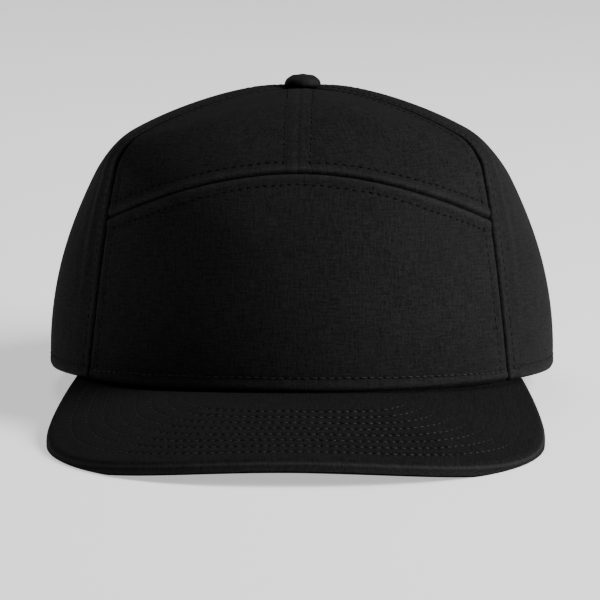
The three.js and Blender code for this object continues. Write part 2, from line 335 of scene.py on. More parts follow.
def thicken(piece, thickness, ups=None, floor=0.0):
    """Gives a sheet its thickness, against ups if they are given, and keeps it off the floor."""
    only(piece)
    thick = piece.modifiers.new("Thickness", "SOLIDIFY")
    thick.thickness = thickness * MM
    thick.offset = -1
    thick.use_even_offset = False
    bpy.ops.object.modifier_apply(modifier=thick.name)
    points = local_points(piece)
    face, back = np.split(points, 2)
    if ups is not None:
        back[:] = face - ups.reshape(-1, 3) * thickness * MM
    face[:, 2] = np.maximum(face[:, 2], floor * MM)
    back[:, 2] = np.maximum(back[:, 2], (floor + KEPT_APART) * MM)
    piece.data.vertices.foreach_set("co", points.reshape(-1))
    bpy.ops.object.shade_smooth_by_angle(angle=SHARPEST_SMOOTH)
    return piece


# %% [markdown]
# ## What sewing does to the cloth
#
# Near each edge the sheet is shaped like real sewing: it folds down into the seam, lies a
# little higher over the seam allowance, and dips in a row where the thread pulls it tight. That
# depends on two things only: how far a point is from the edge, and how far along the edge it
# is. Each kind of edge has its own short rule: a pressed seam, the rolled rim, the hem of the
# opening, and the bare tip. Beside most of them the puffed cloth gets a painted highlight, and
# the fold a painted shade.

# %% Rules for each kind of edge
# the step from one needle hole to the next
PITCH = 2.9
# how far in from an edge its row of topstitching runs; the front rim's ends are less far in
ROW_IN = 4.6
ARCH_ROW_IN = 5.1
RIM_ROW_IN = 4.3
HEM_ROW_IN = 5.2
FRONT_ROW_IN, FRONT_ENDS_LESS = 4.4, 1.5
FRONT_RIM_HALF = gone_along(on_crown(np.linspace(0, FRONT_SEAM, 200), np.zeros(200)))[-1]


def bump(d, middle, half):
    """1 at the middle, and next to nothing two halves away from it."""
    return np.exp(-(((d - middle) / half) ** 2))


def ramp(d, low, high):
    """0 up to low, 1 from high on, and smooth in between."""
    t = np.clip((d - low) / (high - low), 0, 1)
    return t * t * (3 - 2 * t)


def pulled(d, along, middle, depth):
    """The dip under a row of stitches, deepest at each needle hole."""
    return -depth * bump(d, middle, 0.6) * (1 + 0.5 * np.cos(2 * math.pi * along / PITCH))


def seam_relief(d, along, fold=1.0, puff=0.17):
    """A pressed seam: a sharp fold, the puffed allowance, eased cloth past the row, and puckers."""
    allowance = puff * ramp(d, 0.2, 1.5) * (1 - ramp(d, 2.2, 4.4))
    eased = 0.10 * ramp(d, 4.8, 7.6) * np.exp(-d / 20)
    pucker = 0.05 * np.exp(-d / 6) * np.sin(along / 1.37 + 2 * np.sin(along / 9.1))
    return allowance + eased + pucker - fold * bump(d, 0, 0.5) + pulled(d, along, ROW_IN, 0.06)


def side_relief(d, along):
    """The side panel's front edge, where the thick seam throws soft folds that run beside it."""
    fade = bump(d, 9, 8) * np.sin(math.pi * np.clip(along / 120, 0, 1)) ** 2
    drift = 1.5 * np.sin(along / 31) + 0.6 * np.sin(along / 11)
    return seam_relief(d, along) + 0.42 * fade * np.cos((d - 3.5 + drift) * 2 * math.pi / 9)


def front_row_in(along):
    """How far in the front rim's row is: it runs straight, and the rim dips below it."""
    return FRONT_ROW_IN - FRONT_ENDS_LESS * (along / FRONT_RIM_HALF - 1) ** 2


def front_rim_relief(d, along):
    rolled = 0.40 * bump(d, 1.8, 1.5) - 0.95 * bump(d, 0, 0.8)
    return rolled + pulled(d, along, front_row_in(along), 0.22)


def rim_relief(d, along):
    return 0.20 * bump(d, 2.0, 1.6) - 0.45 * bump(d, 0, 0.7) + pulled(d, along, RIM_ROW_IN, 0.16)


def hem_relief(d, along):
    fold = 0.4 * ramp(d, 0, 1.2) * (1 - ramp(d, 6.0, 6.9))
    return fold - 0.5 * bump(d, 0, 0.6) + pulled(d, along, HEM_ROW_IN, 0.14)


RELIEF = {
    "seam": seam_relief, "side": side_relief, "rim": rim_relief, "hem": hem_relief,
    "arch": lambda d, along: seam_relief(d, along, puff=0.42),
    "centre": lambda d, along: seam_relief(d, along, fold=0.08, puff=0.08),
    "front rim": front_rim_relief, "tip": lambda d, along: -1.3 * bump(d, 0, 10)}
# how strong the painted highlight on the puffed cloth beside an edge is, how far in, how wide
PAINTED_HIGHLIGHT = {"seam": (0.25, 1.6, 0.9), "arch": (0.85, 1.6, 0.9), "centre": (0.25, 1.6, 1.0),
       "side": (0.25, 1.6, 0.9), "front rim": (0.6, 2.0, 1.2), "rim": (0.3, 2.0, 1.2),
       "hem": (0.3, 1.5, 1.0), "tip": (0, 0, 1)}
print("kinds of edge:", sorted(RELIEF))

# %% [markdown]
# ## Finding the nearest edge
#
# The rules need two distances for every point of a panel. Each edge is sampled about every
# quarter of a millimetre, and a k-d tree finds the sample nearest to a point quickly.

# %% An edge and its tree
def tree_of(points):
    """A k-d tree of points in space, or of points in plan, which get height 0."""
    tree = KDTree(len(points))
    for k, point in enumerate(points):
        tree.insert((*point, 0)[:3], k)
    tree.balance()
    return tree


def nearest(tree, points):
    """Which of the tree's points is nearest to each point, and how far away it is."""
    found = [tree.find((*point, 0)[:3])[1:] for point in points.reshape(-1, points.shape[-1])]
    return [np.array(column).reshape(points.shape[:-1]) for column in zip(*found)]


class Edge:
    """A panel's edge: its points, how far along each one is, and what kind of edge it is."""

    def __init__(self, angle, share, kind):
        self.angle, self.share, self.kind = angle, share, kind
        self.points = on_crown(angle, share)
        self.along = gone_along(self.points)
        self.tree = tree_of(self.points)

    def nearest(self, points):
        """How far points are from the edge, and how far along it."""
        index, distance = nearest(self.tree, points)
        return distance, self.along[index]


# %% [markdown]
# ## Where the panels' edges run
#
# The arched seam crosses the front as part of a circle seen from the front. The opening at the
# back is a rounded arch that starts and ends on the rim. Each panel is then said by its low and
# high edge, and by what each of its four edges is.

# %% The panels' edges
# how much of the back panel's low edge lies on the rim; the rest goes over the opening
RIM_SHARE = 0.46


def arch(angle):
    return share_where(
        angle, lambda p: p[..., 2] > ARCH_TOP - p[..., 0] ** 2 / (2 * ARCH_RADIUS))


def ring(angle):
    return 1 - RING_R / length_at(angle)


def rim(angle):
    return np.zeros_like(angle)


def between(first, last, share):
    """An edge from one angle to another, as a function of 0 to 1 across."""
    def edge(u):
        angle = first + (last - first) * np.asarray(u, float)
        return angle, share(angle)
    return edge


def back_edge(u):
    """The back panel's low edge: along the rim, then over the opening."""
    u = np.asarray(u, float)
    corner = 180 - OPENING_ANGLE
    flat = SIDE_SEAM + (corner - SIDE_SEAM) * u / RIM_SHARE
    swing = np.radians(90 * np.clip((u - RIM_SHARE) / (1 - RIM_SHARE), 0, 1))
    bend = 2 / OPENING_SQUARENESS
    over = 180 - OPENING_ANGLE * np.clip(np.cos(swing), 0, 1) ** bend
    climb = at_height(over, OPENING_UP * np.sin(swing) ** bend)
    on_rim = u <= RIM_SHARE
    return np.where(on_rim, flat, over), np.where(on_rim, 0, climb)


BACK_ACROSS = np.unique(np.round(np.concatenate([
    stops(60, 2.0) * RIM_SHARE, RIM_SHARE + stops(70, 1.6) * (1 - RIM_SHARE)]), 6))
# low edge, high edge, columns across, length up, kinds of the low, high, first and last edge
PANELS = {
    "front_panel": (
        between(-FRONT_SEAM, FRONT_SEAM, rim), between(-FRONT_SEAM, FRONT_SEAM, arch),
        stops(166, 1.5), 74, ("front rim", "arch", "seam", "seam")),
    "upper_front_left": (
        between(0, FRONT_SEAM, arch), between(0, FRONT_SEAM, ring),
        stops(78, 1.5), 90, ("arch", "tip", "centre", "seam")),
    "side_left": (
        between(FRONT_SEAM, SIDE_SEAM, rim), between(FRONT_SEAM, SIDE_SEAM, ring),
        stops(100, 1.6), 160, ("rim", "tip", "side", "seam")),
    "back_left": (
        back_edge, between(SIDE_SEAM, 180, ring),
        BACK_ACROSS, 150, ("back", "tip", "seam", "seam")),
}
print("columns of points across:", {name: len(row[2]) for name, row in PANELS.items()})

# %% [markdown]
# ## What moves a panel's points
#
# All four edges add their rules. The seam that runs up the shoulder is thick, so it lies deep
# and the cloth beside it stands out in a soft fold, and the whole crown has slow waves and a
# hollow in front of the button.

# %% Relief of a whole panel
# how dark and how wide the painted shade in the fold at an edge is
FOLD_SHADE, FOLD_SHADE_HALF = 0.8, 0.4


def edges_of(low, high, kinds):
    """The four edges of a panel, each sampled every quarter of a millimetre or so."""
    fine = np.linspace(0, 1, 700)
    (low_a, low_s), (high_a, high_s) = low(fine), high(fine)
    if kinds[0] == "back":
        rimward = fine <= RIM_SHARE
        made = [Edge(low_a[rimward], low_s[rimward], "rim"),
                Edge(low_a[~rimward], low_s[~rimward], "hem")]
    else:
        made = [Edge(low_a, low_s, kinds[0])]
    made.append(Edge(high_a, high_s, kinds[1]))
    for k, kind in ((0, kinds[2]), (-1, kinds[3])):
        across = low_a[k] + (high_a[k] - low_a[k]) * fine
        made.append(Edge(across, low_s[k] + (high_s[k] - low_s[k]) * fine, kind))
    return made


def sewn_relief(edges, smooth):
    """What the edges do to a panel: how far its cloth moves out, and its painted light and shade.
    """
    relief, painted_light = np.zeros((2, *smooth.shape[:-1]))
    for edge in edges:
        d, along = edge.nearest(smooth)
        relief += RELIEF[edge.kind](d, along)
        # painted highlight on the puffed cloth beside the edge, and painted shade in its fold
        much, middle, half = PAINTED_HIGHLIGHT[edge.kind]
        painted_light += much * bump(d, middle, half)
        painted_light -= FOLD_SHADE * bump(d, 0, FOLD_SHADE_HALF) * (edge.kind != "centre")
    return np.stack([relief, painted_light])


def shoulder_relief(shoulder, smooth):
    """The fold beside the seam up the shoulder, how deep that seam is, and its painted shade."""
    d, z = shoulder.nearest(smooth)[0], smooth[..., 2]
    fold = 0.55 * ramp(z, 40, 70) * (1 - ramp(z, 86, 100)) * np.exp(-d / 9)
    deep = 0.35 + 0.65 * ramp(z, 58, 82)
    # the second part is painted shade, darkest where the seam lies deepest
    return np.stack([fold - 0.6 * deep * bump(d, 0, 0.9), -2.6 * deep * bump(d, 0.2, 0.9)])


def crown_relief(smooth):
    """The hollow in front of the button, and slow waves."""
    x, y, z = np.moveaxis(smooth, -1, 0)
    hollow = 1.3 * bump(np.hypot(x / 1.8, y - BUTTON_Y + 11), 0, 11) * (z > 60)
    return 0.16 * np.sin(x / 11 + 1.1) * np.sin(z / 13 + y / 17) - hollow


# %% [markdown]
# ## Laying the seven panels
#
# The front panel crosses the middle. The others are made on the wearer's left and mirrored for
# the right, as the pattern pieces of a cap are cut in pairs. A hair more cloth goes on beyond a
# seam and is tucked under its neighbour, so that no light comes through.

# %% Make the panels
ROW_STEP = 1.5
TUCKED, TUCKED_DEEP = 0.002, 0.2
# the front panel's rim sags by this much in the middle, and takes this much cloth with it
RIM_SAG, RIM_SAG_HALF = 0.75, 4


def panel(name, low, high, across, length, kinds, side=1):
    """Builds one panel on the wearer's left or across the middle; side -1 mirrors it."""
    up = stops(length, ROW_STEP)[:, None]
    if name.startswith("side"):
        across = np.concatenate([[-TUCKED], across, [1 + TUCKED]])
    if name == "front_panel":
        up = np.concatenate([up, [[1 + TUCKED]]])
    (low_a, low_s), (high_a, high_s) = low(across), high(across)
    angle = low_a + (high_a - low_a) * up
    share = low_s + (high_s - low_s) * up
    smooth, ways = on_crown(angle, share), outward(angle, share)
    edges = edges_of(low, high, kinds)
    moved = sewn_relief(edges, smooth)
    if name.startswith(("upper", "side")):
        moved += shoulder_relief(edges[3 if name.startswith("upper") else 2], smooth)
    relief, painted_light = moved
    relief += crown_relief(smooth) - TUCKED_DEEP * ((across < 0) | (across > 1) | (up > 1))
    points = smooth + ways * relief[..., None]
    if name == "front_panel":
        d, along = edges[0].nearest(smooth)
        sag = 1 - (along / FRONT_RIM_HALF - 1) ** 2
        points[..., 2] -= RIM_SAG * bump(d, 0, RIM_SAG_HALF) * sag
    middle = (low_a[0] + low_a[-1]) / 2
    weave = np.stack([(angle - middle) * per_degree(angle, share), share * length_at(angle)], -1)
    if side < 0:
        points, ways = points[:, ::-1] * (-1, 1, 1), ways[:, ::-1] * (-1, 1, 1)
        weave, painted_light = weave[:, ::-1] * (-1, 1), painted_light[:, ::-1]
    piece = thicken(grid_piece("sewn_" + name, points, weave, painted_light), CLOTH, turned(ways))
    print(name, len(piece.data.polygons), "faces")
    return piece, edges


crown, seams = {}, {}
for name, parts in PANELS.items():
    crown[name], seams[name] = panel(name, *parts)
    if name.endswith("left"):
        twin = name.replace("left", "right")
        crown[twin], _ = panel(twin, *parts, side=-1)

# %% [markdown]
# ## The brim's outline and rows
#
# A flat brim is a board between two covers, sewn through in rows that follow its edge. In plan
# its edge is a rounded box at the front, and it narrows to the temples behind. The rows are the
# same curve, drawn further and further in, and they stop where they meet the crown.

# %% Brim sizes and curves
# its upper face falls towards the front, droops to the sides, and meets the crown near the rim
BRIM_SLOPE = 0.24
BRIM_RADIUS = 267.0
BRIM_JOINT_UP = 0.5
BRIM_THICK = 4.5
# the joint ends at this angle on both sides; how wide the edge is, where, and its reach from there
BRIM_ANGLE = 59.7
BRIM_HALF_WIDTH = 85.7
BRIM_WIDEST_Y = -96.3
BRIM_REACH = 70.2
BRIM_SQUARENESS = 2.33
# how much narrower it is at the temples, and how late that comes
BRIM_TUCK, TUCK_BEND = 5.8, 1.6
# the rows: the first one's inset, the step to the next, and how far from the crown they stop
BRIM_ROWS = 8
FIRST_ROW_IN = 8.3
ROW_PITCH = 5.47
ROW_CLEAR = 4


def brim_up(x, y):
    """Height of the brim's upper face over the rim's plane."""
    return BRIM_JOINT_UP + BRIM_SLOPE * (y + HALF_DEPTH) - x**2 / (2 * BRIM_RADIUS)


def brim_curve(inset=0.0, count=900):
    """The brim's edge, or a curve inset from it, from the right temple round to the left."""
    half_width, reach = BRIM_HALF_WIDTH - inset, BRIM_REACH - inset
    bend = 2 / BRIM_SQUARENESS
    temple_y = -HALF_DEPTH * math.cos(math.radians(BRIM_ANGLE))
    back = np.linspace(1, 0, 160)
    swing = np.linspace(0, math.pi / 2, 400)[1:]
    side = np.column_stack([half_width - BRIM_TUCK * back**TUCK_BEND,
                            BRIM_WIDEST_Y + (temple_y - BRIM_WIDEST_Y) * back])
    front = np.column_stack([half_width * np.cos(swing).clip(0) ** bend,
                             BRIM_WIDEST_Y - reach * np.sin(swing) ** bend])
    half = np.vstack([side, front])
    edge = np.vstack([half * (-1, 1), half[-2::-1]])
    return points_at(edge, np.linspace(0, gone_along(edge)[-1], count))


def spaced(points, step):
    """Points a fixed step apart along a polyline."""
    return points_at(points, np.arange(0, gone_along(points)[-1], step))


brim_rows = []
for k in range(BRIM_ROWS):
    curve = brim_curve(FIRST_ROW_IN + ROW_PITCH * k)
    x, y = curve.T
    outside = (x / (HALF_WIDTH + ROW_CLEAR)) ** 2 + (y / (HALF_DEPTH + ROW_CLEAR)) ** 2 > 1
    brim_rows.append(curve[outside])
brim_holes = [spaced(curve, PITCH) for curve in brim_rows]
print("stitches in the brim's rows:", [len(holes) for holes in brim_holes])

# %% [markdown]
# ## The two covers of the brim
#
# Each cover is a grid between the crown's joint and the edge. The rows press the cloth into the
# board, and each needle hole pulls a small dimple. At the crown the upper cover dips into a
# groove and turns up against the wall. At its edge it is rounded over the board, goes down and
# is turned under, onto the under cover, which is the same kind of grid seen from below.

# %% Sizes of the covers
# thickness, inset of the edge and radius of its rounding, for the upper and the under cover
TOP_COVER, TOP_INSET, TOP_ROUND = 0.9, 0.0, 2.4
UNDER_COVER, UNDER_INSET, UNDER_ROUND = 0.5, 0.5, 0.4
# how far below the upper face the upper cover's turned edge lies
TURNED_DOWN = 3.7
# the joint lies this far inside the crown's wall; the lip climbs it by so much per share
JOINT_IN = 1.3
LIP_CLIMB = 130
LIP_OFF_FLOOR = 0.3
GROOVE_DEEP, GROOVE_HALF = 1.25, 2.6
ROW_DEEP, HOLE_DEEP, DIP_HALF, WAVE_DEEP = 0.10, 0.28, 0.8, 0.10
# the brim is about this wide from joint to edge, which turns millimetres into shares of it
BRIM_SPAN = 68
# how the face's last rows close up on the edge, from where its rounding starts
TO_EDGE = np.array([1, 0.8, 0.6, 0.42, 0.27, 0.16, 0.08, 0.03, 0.008, 0])
# past the face, rows go down the edge's wall and back under it: share of the way out, depth
WALL = [(1 - 0.0002 * k, depth)
        for k, depth in enumerate(np.linspace(2.6, TURNED_DOWN - 0.3, 3))]
UNDER = [(0.9985, TURNED_DOWN), (0.99, TURNED_DOWN + 0.1), (0.96, TURNED_DOWN + 0.1)]


def face_rows(steps, rounding):
    """Shares of the way out for the rows of a face, closer together over the rounded edge."""
    last = rounding / BRIM_SPAN * TO_EDGE
    steady = np.linspace(0, 0.995 - rounding / BRIM_SPAN, steps)
    return [(share, None) for share in (-0.014, -0.007, *steady, *(1 - last))]


edge_tree = tree_of(brim_curve(0, 2400))
row_tree = tree_of(np.vstack([spaced(curve, 0.3) for curve in brim_rows]))
# the dimples show only where a row runs across the brim
level = [np.abs(unit(np.gradient(holes, axis=0))[:, 1]) < 0.6 for holes in brim_holes]
hole_tree = tree_of(np.vstack([holes[keep] for holes, keep in zip(brim_holes, level)]))
print("dimples on each cover:", sum(keep.sum() for keep in level))

# %% [markdown]
# ## Building a cover
#
# A row of the grid is either on the face, where the relief moves it, or it has a set depth on
# the wall or under it. Both covers come from one function.

# %% Make the brim
def brim_cover(name, side, drop, thickness, inset, rounding, columns, section):
    """side 1 is the upper cover, -1 the under one; drop is its face's depth below the brim's."""
    angle = np.radians(BRIM_ANGLE * np.linspace(-1, 1, columns + 1))
    joint = np.stack([(HALF_WIDTH - JOINT_IN) * np.sin(angle),
                      -(HALF_DEPTH - JOINT_IN) * np.cos(angle)], -1)
    edge = brim_curve(inset, columns + 1)
    steps = np.array([share for share, _ in section])[:, None, None]
    depths = np.array([depth for _, depth in section], float)[:, None]
    on_face = np.isnan(depths)
    plan = joint + (edge - joint) * steps
    x, y = plan[..., 0], plan[..., 1]
    d = np.clip(nearest(edge_tree, plan)[1] - inset, 0, rounding)
    round_over = rounding - np.sqrt(rounding**2 - (rounding - d) ** 2)
    rows = bump(nearest(row_tree, plan)[1], 0, DIP_HALF)
    holes = bump(nearest(hole_tree, plan)[1], 0, DIP_HALF)
    clear = (np.hypot(x / HALF_WIDTH, y / HALF_DEPTH) - 1) * HALF_DEPTH
    groove = bump(clear, 0, GROOVE_HALF) * (0.6 + 0.4 * (y / HALF_DEPTH) ** 2) * (side > 0)
    waves = np.sin(x / 19 + 0.7) * np.sin(y / 15 + x / 40)
    sewn = ROW_DEEP * rows + HOLE_DEEP * holes - WAVE_DEEP * waves + GROOVE_DEEP * groove
    down = np.where(on_face, round_over + sewn * ramp(d, 0, rounding), depths)
    lip = LIP_CLIMB * np.clip(-steps[..., 0], 0, None)
    points = np.stack([x, y, brim_up(x, y) + lip - drop - side * down], -1)
    # painted light: a painted highlight along the rounded edge, the wall painted lighter, and
    # painted shade in the holes and the groove
    over = np.where(on_face, d / rounding, 0)
    painted_light = 2.9 * bump(over, 0.17, 0.1) + 0.5 * (over == 0) - 2.1 * holes - 1.1 * groove
    weave = plan + unit(edge - joint) * np.nan_to_num(depths)[..., None]
    if side > 0:
        points, weave, painted_light = points[::-1], weave[::-1], painted_light[::-1]
    floor = LIP_OFF_FLOOR * (side > 0)
    return thicken(grid_piece(name, points, weave, painted_light), thickness, floor=floor)


brim_top = brim_cover("sewn_brim_top", 1, 0, TOP_COVER, TOP_INSET, TOP_ROUND, 420,
                      face_rows(96, TOP_ROUND) + WALL + UNDER)
brim_under = brim_cover("sewn_brim_under", -1, BRIM_THICK, UNDER_COVER, UNDER_INSET, UNDER_ROUND,
                        340, face_rows(70, UNDER_ROUND))
print("brim faces:", len(brim_top.data.polygons), len(brim_under.data.polygons))

# %% [markdown]
# ## Rows of needle holes
#
# A row is found by walking along an edge, stepping in from it, and looking down onto the cloth
# with a ray, so each hole lies in the dip that the relief made for it. A ray that misses the
# piece gives no hole, and the row has a gap there.

# %% Find a row
# a ray starts this far above the cloth and goes this far
LOOK_FROM, LOOK_FAR = 3, 6
# a row ends this far before its edge does, and this far from the middle of the button
ROW_TRIM = 0.8
BUTTON_CLEAR = 8.2


def look_down(piece, points, ups):
    """Where lines from above the points meet the piece: positions and normals, or None."""
    ground = BVHTree.FromObject(piece, bpy.context.evaluated_depsgraph_get())
    found = []
    for start, way in zip(at_rest(points + ups * LOOK_FROM), turned(-ups)):
        place, normal, _, _ = ground.ray_cast(Vector(start), Vector(way), LOOK_FAR * MM)
        found.append(None if place is None else (np.array(place), np.array(normal)))
    return found


def row_beside(piece, edge, inset):
    """Needle holes at the pitch along an edge, inset into the piece."""
    at = np.arange(PITCH, edge.along[-1] - ROW_TRIM, PITCH)
    ups = outward(np.interp(at, edge.along, edge.angle), np.interp(at, edge.along, edge.share))
    ways = points_at(edge.points, at + 0.5) - points_at(edge.points, at - 0.5)
    inwards = np.cross(ups, unit(ways))
    if callable(inset):
        inset = inset(at)[:, None]
    both = [look_down(piece, points_at(edge.points, at) + sign * inset * inwards, ups)
            for sign in (1, -1)]
    row = max(both, key=lambda holes: sum(hole is not None for hole in holes))
    axis = at_rest(np.array([0.0, BUTTON_Y, 0.0]))[:2]
    near = [hole is not None and np.hypot(*(hole[0][:2] - axis)) <= BUTTON_CLEAR * MM
            for hole in row]
    return [None if hidden else hole for hole, hidden in zip(row, near)]


# %% [markdown]
# ## One stitch, copied
#
# A stitch of topstitching is a short piece of thread that rises from one needle hole and dives
# into the next. It is modelled once, from a coarse sphere pulled long, and copied along every
# row, because a sphere of a few dozen faces is enough for a thread less than a millimetre thick.

# %% A stitch
# half the thickness of most thread, and how much of a pitch it spans
THREAD, SPAN = 0.29, 0.58
# two holes make a stitch only if they are about one pitch apart
SHORTEST, LONGEST = 0.6, 1.6
# how high a stitch's middle lies and how flat it is, in halves of the thread's thickness
CREST_UP, FLATTENED = 0.3, 0.8
# a sunk stitch gets this even painted tone in place of its glint
SUNK_GLINT = 0.12
bpy.ops.mesh.primitive_uv_sphere_add(segments=6, ring_count=4, radius=1)
model = bpy.context.object
STITCH_POINTS = np.array([v.co[:] for v in model.data.vertices])
STITCH_FACES = [tuple(p.vertices) for p in model.data.polygons]
bpy.data.objects.remove(model)
print("faces of one stitch:", len(STITCH_FACES))

# %% [markdown]
# ## Sewing rows
#
# A machine's stitches are alike but never quite the same, so each copy is a little longer or
# shorter and a hair to one side. Each point gets a glint, which the thread's finish reads as
# painted light: a painted highlight high on the crest and painted shade, at 0, in the holes. On
# the brim, stitches that run to and fro sink deeper.

# %% Sew rows of holes
# how stitches vary: in length, sideways in millimetres, and in their painted glint
LENGTHS, SIDEWAYS, GLINTS = (0.88, 1.06), 0.07, (0.5, 1.2)
scene = bpy.context.scene


def edit(tool, **settings):
    """Runs a tool on the whole of the active object in edit mode."""
    bpy.ops.object.mode_set(mode="EDIT")
    bpy.ops.mesh.select_all(action="SELECT")
    tool(**settings)
    bpy.ops.object.mode_set(mode="OBJECT")


def sew(name, rows, thread=THREAD, span=SPAN, sink=0.0, mirror=True):
    """Joins copies of the stitch into one mesh, one between each pair of neighbouring holes."""
    holes = np.array([pair for row in rows for pair in zip(row, row[1:]) if None not in pair])
    length = np.linalg.norm(holes[:, 1, 0] - holes[:, 0, 0], axis=-1)
    holes = holes[(length > SHORTEST * PITCH * MM) & (length < LONGEST * PITCH * MM)]
    steps = holes[:, 1, 0] - holes[:, 0, 0]
    ups, alongs = unit(holes[:, 0, 1] + holes[:, 1, 1]), unit(steps)
    lift = CREST_UP - sink * alongs[:, 1:2] ** 2
    centres = (holes[:, 0, 0] + holes[:, 1, 0]) / 2 + ups * lift * thread * MM
    halves = np.linalg.norm(steps, axis=-1) * span / 2
    if mirror:
        flip = np.array([-1.0, 1.0, 1.0])
        centres, ups, alongs = (np.vstack([v, v * flip]) for v in (centres, ups, alongs))
        halves = np.concatenate([halves, halves])
    chance = np.random.default_rng(len(name))
    sides = np.cross(ups, alongs)
    halves = halves * chance.uniform(*LENGTHS, len(halves))
    centres = centres + sides * (chance.normal(0, SIDEWAYS, len(halves)) * MM)[:, None]
    # painted light on each stitch: a painted highlight on its crest, painted shade where it dives
    glint = chance.uniform(*GLINTS, len(halves))[:, None] * (1 - STITCH_POINTS[:, 2] ** 2)
    sunk = ramp(np.abs(alongs[:, 1]), 0.25, 0.75)[:, None] * (sink > 0)
    glint = glint * (1 - sunk) + SUNK_GLINT * sunk
    x, y, z = STITCH_POINTS.T
    points = (centres[:, None]
              + sides[:, None] * (x * thread * MM)[None, :, None]
              + ups[:, None] * (y * FLATTENED * thread * MM)[None, :, None]
              + alongs[:, None] * z[None, :, None] * halves[:, None, None])
    faces = [tuple(corner + k * len(STITCH_POINTS) for corner in face)
             for k in range(len(centres)) for face in STITCH_FACES]
    mesh = bpy.data.meshes.new(name)
    mesh.from_pydata(points.reshape(-1, 3).tolist(), [], faces)
    mesh.attributes.new("glint", "FLOAT", "POINT").data.foreach_set("value", glint.reshape(-1))
    piece = bpy.data.objects.new(name, mesh)
    scene.collection.objects.link(piece)
    only(piece)
    edit(bpy.ops.mesh.normals_make_consistent, inside=False)
    bpy.ops.object.shade_smooth()
    print(name, len(centres), "stitches")
    return piece


# %% [markdown]
# ## Sewing the crown and the brim
#
# The rows of the left-hand panels are mirrored, and so is the front panel's upright row. The
# rows that cross the middle are whole. On the brim the same holes are sewn on both covers.

# %% Sew
# the groups of rows, how each is sewn, and its rows: a panel, one of its edges, how far in
crown_sewn = {}
for group, how, rows in (
    ("rim", {"thread": 0.36, "span": 0.9, "mirror": False}, [("front_panel", 0, front_row_in)]),
    ("front_arch", {"thread": 0.34, "mirror": False}, [("front_panel", 1, ARCH_ROW_IN)]),
    ("upper_arch", {"thread": 0.32}, [("upper_front_left", 0, ROW_IN)]),
    ("level", {}, [("side_left", 0, RIM_ROW_IN), ("back_left", 0, RIM_ROW_IN),
                   ("back_left", 1, HEM_ROW_IN)]),
    ("upright", {}, [("front_panel", 2, ROW_IN), ("upper_front_left", 2, ROW_IN),
                     ("upper_front_left", 3, ROW_IN), ("side_left", 2, ROW_IN),
                     ("side_left", 3, ROW_IN), ("back_left", 3, ROW_IN),
                     ("back_left", 4, ROW_IN)]),
):
    holes = [row_beside(crown[name], seams[name][k], inset) for name, k, inset in rows]
    crown_sewn[group] = sew(group + "_stitches", holes, **how)
brim_sewn = {}
for name, cover, side in (("brim_top", brim_top, 1), ("brim_under", brim_under, -1)):
    rows = []
    for holes in brim_holes:
        z = brim_up(holes[:, 0], holes[:, 1]) - (0 if side > 0 else BRIM_THICK)
        ups = np.tile((0.0, 0.0, side), (len(holes), 1))
        rows.append(look_down(cover, np.column_stack([holes, z]), ups))
    brim_sewn[name] = sew(
        name + "_stitches", rows, thread=0.43, span=0.73, sink=0.88, mirror=False)

# %% [markdown]
# ## The covered button
#
# The button on top is a metal cup covered in the crown's cloth, and its prongs go through the
# tips of the panels. It starts as a sphere, flattened more below than above, with shallow tucks
# where the cloth is gathered under it. A shank and a plate behind the panels hold it.

# %% Make the button
# the button's height is counted from its base, which is sunk between the puffed panels
BUTTON_R = 6.7
BUTTON_UP = 5.5
BUTTON_BELOW = 1.7
BUTTON_SUNK = 2.2
TUCKS = 7
SHANK_R, PLATE_R, PLATE_THICK = 2.2, 5.0, 0.9
button_base = CROWN_TOP - BUTTON_SUNK
plate_top = CROWN_TOP - 3.6


def in_place(obj, points):
    obj.data.vertices.foreach_set("co", at_rest(points).reshape(-1))
    obj.data.update()


def join(whole, part):
    only(whole)
    part.select_set(True)
    bpy.ops.object.join()


bpy.ops.mesh.primitive_uv_sphere_add(segments=72, ring_count=36, radius=1)
button = bpy.context.object
button.name = button.data.name = "covered_button"
p = local_points(button)
around = np.arctan2(p[:, 1], p[:, 0])
rise = np.arcsin(p[:, 2].clip(-1, 1))
reach = np.cos(rise).clip(0) ** np.where(rise > 0, 0.85, 0.6)
tuck = 1 - 0.022 * bump(rise, -0.2, 0.4) * np.abs(np.cos(around * TUCKS)) ** 6
z = BUTTON_BELOW + np.sin(rise) * np.where(rise > 0, BUTTON_UP - BUTTON_BELOW, BUTTON_BELOW)
z = z + 0.10 * np.cos(reach * 11) * ramp(rise, 0.5, 0.9)
spread = BUTTON_R * tuck * reach
in_place(button, np.column_stack([
    spread * np.cos(around), spread * np.sin(around) + BUTTON_Y, z + button_base]))
bpy.ops.object.shade_smooth()

for radius, low_z, high_z in ((SHANK_R, plate_top - 0.2, button_base + 0.4),
                              (PLATE_R, plate_top - PLATE_THICK, plate_top)):
    bpy.ops.mesh.primitive_cylinder_add(vertices=48, radius=radius, depth=high_z - low_z)
    stem = bpy.context.object
    edit(bpy.ops.mesh.bevel, offset=0.15, segments=2)
    in_place(stem, local_points(stem) + (0, BUTTON_Y, (low_z + high_z) / 2))
    join(button, stem)
print("button faces:", len(button.data.polygons))

# %% [markdown]
# ## The sweatband
#
# Inside the rim a band of soft cloth is sewn to the edge and folded up. It stops beside the
# opening at the back. The face that shows is the inner one, so the grid is laid there, swells a
# little where it is padded, and gets its thickness towards the crown.

# %% Make the sweatband
BAND_ANGLE = 146.0
BAND_LOW, BAND_HIGH = 1.0, 33.0
# how far inside the crown's outer face the face that shows lies
BAND_IN = 3.1
BAND_THICK = 1.0
BAND_ROWS_UP = (3.6, BAND_HIGH - 2.4)
# the band's radius, roughly, which turns the pitch into an angle
BAND_RADIUS = 90


